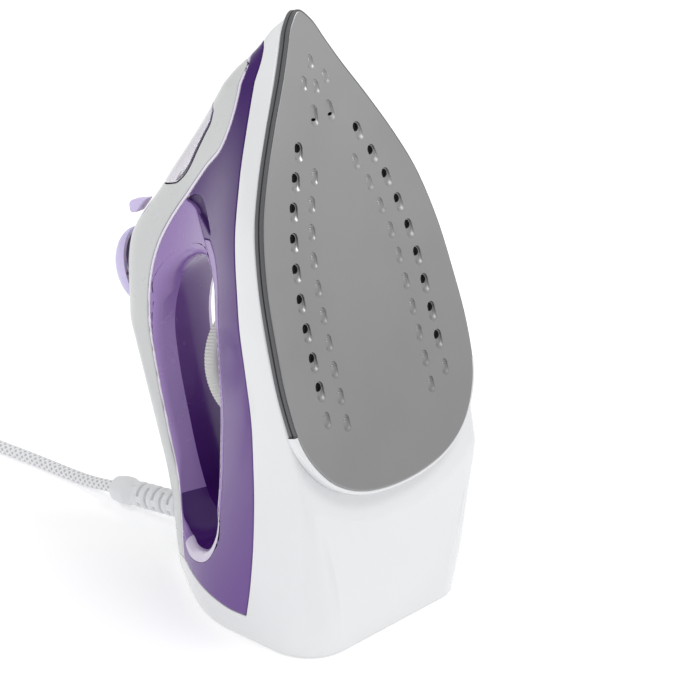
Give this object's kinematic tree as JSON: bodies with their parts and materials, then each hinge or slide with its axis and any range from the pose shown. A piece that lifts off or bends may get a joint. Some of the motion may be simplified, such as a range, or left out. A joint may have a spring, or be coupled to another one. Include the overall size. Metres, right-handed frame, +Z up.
{
  "type": "steam iron",
  "caption": "Compact steam iron standing on its heel: drilled metal soleplate, tinted water tank, open handle with dial, spray and steam buttons, filler door, and a coiled mains cord.",
  "frame": {"origin": "on the floor under the middle of the standing iron, without its cord", "axes": "+Z up towards the sole tip, -Y the way the soleplate faces, +X across the iron"},
  "size_m": [0.1606, 0.3687, 0.2786],
  "materials": {
    "sole": "satin",
    "rim": "satin",
    "steel": "satin",
    "ceramic": "matte",
    "white_housing": "gloss",
    "pale_cover": "satin",
    "lavender_grip": "gloss",
    "purple_tank": "gloss",
    "smoked_door": "gloss",
    "rubber": "matte",
    "brass": "satin",
    "lavender_button": "satin",
    "dial": "satin",
    "black_plastic": "matte",
    "amber_lens": "gloss",
    "cord_rubber": "satin",
    "braid": "woven",
    "plug_plastic": "satin",
    "plug_metal": "satin"
  },
  "bodies": {
    "base": {"soleplate": "sole", "sole_rim": "rim", "heating_element": "steel", "steam_chamber_cover": "steel", "thermostat": "ceramic", "thermal_fuse": "ceramic", "lower_housing": "white_housing", "handle_cover": "pale_cover", "handle_grip": "lavender_grip", "grip_saddle": "lavender_grip", "water_tank": "purple_tank", "heel_plate": "white_housing", "heel_screw_1": "steel", "heel_screw_2": "steel", "heel_screw_3": "steel", "filler_door_pin": "steel", "filler_funnel": "white_housing", "spray_nozzle": "white_housing", "tank_base": "white_housing", "drip_valve_seat": "rubber", "spray_pump": "white_housing", "steam_pump": "white_housing", "spray_spring": "steel", "steam_spring": "steel", "dial_seat": "lavender_grip", "pilot_lamp": "amber_lens", "terminal_block": "ceramic", "cord_clamp": "black_plastic", "clamp_screw_1": "steel", "clamp_screw_2": "steel", "cord_gland": "cord_rubber", "mains_cord": "braid", "mains_cord_end": "braid", "cord_coil": "braid", "cord_tie": "black_plastic", "plug_body": "plug_plastic", "plug_pin_left": "plug_metal", "plug_pin_right": "plug_metal"},
    "filler_door": {"filler_door": "smoked_door"},
    "steam_slider": {"steam_slider": "lavender_button"},
    "drip_valve": {"drip_valve_rod": "brass"},
    "spray_button": {"spray_button": "lavender_button", "spray_piston": "brass"},
    "steam_button": {"steam_button": "lavender_button", "steam_piston": "brass"},
    "thermostat_dial": {"thermostat_dial": "dial", "dial_spindle": "black_plastic"}
  },
  "joints": [
    {"name": "filler_door_hinge", "type": "hinge", "parent": "base", "child": "filler_door", "pos_m": [0, 0.04601, 0.18312], "axis": [-1, 0, 0], "range_deg": [0, 100]},
    {"name": "steam_slider_slide", "type": "slide", "parent": "base", "child": "steam_slider", "axis": [1, 0, 0], "range_m": [0, 0.016]},
    {"name": "drip_valve_lift", "type": "slide", "parent": "base", "child": "drip_valve", "axis": [0, 0.9527, -0.304], "range_m": [0, 0.0024]},
    {"name": "spray_button_press", "type": "slide", "parent": "base", "child": "spray_button", "axis": [0, -0.9527, 0.304], "range_m": [0, 0.004], "stiffness_N_per_m": 400, "springref_m": -0.004},
    {"name": "steam_button_press", "type": "slide", "parent": "base", "child": "steam_button", "axis": [0, -0.9527, 0.304], "range_m": [0, 0.004], "stiffness_N_per_m": 400, "springref_m": -0.004},
    {"name": "thermostat_dial_turn", "type": "hinge", "parent": "base", "child": "thermostat_dial", "pos_m": [0, -0.00156, 0.10509], "axis": [0, 0.9527, -0.304], "range_deg": [0, 270]}
  ],
  "couplings": [
    {"joint": "drip_valve_lift", "follows": "steam_slider_slide", "ratio": 0.15}
  ]
}
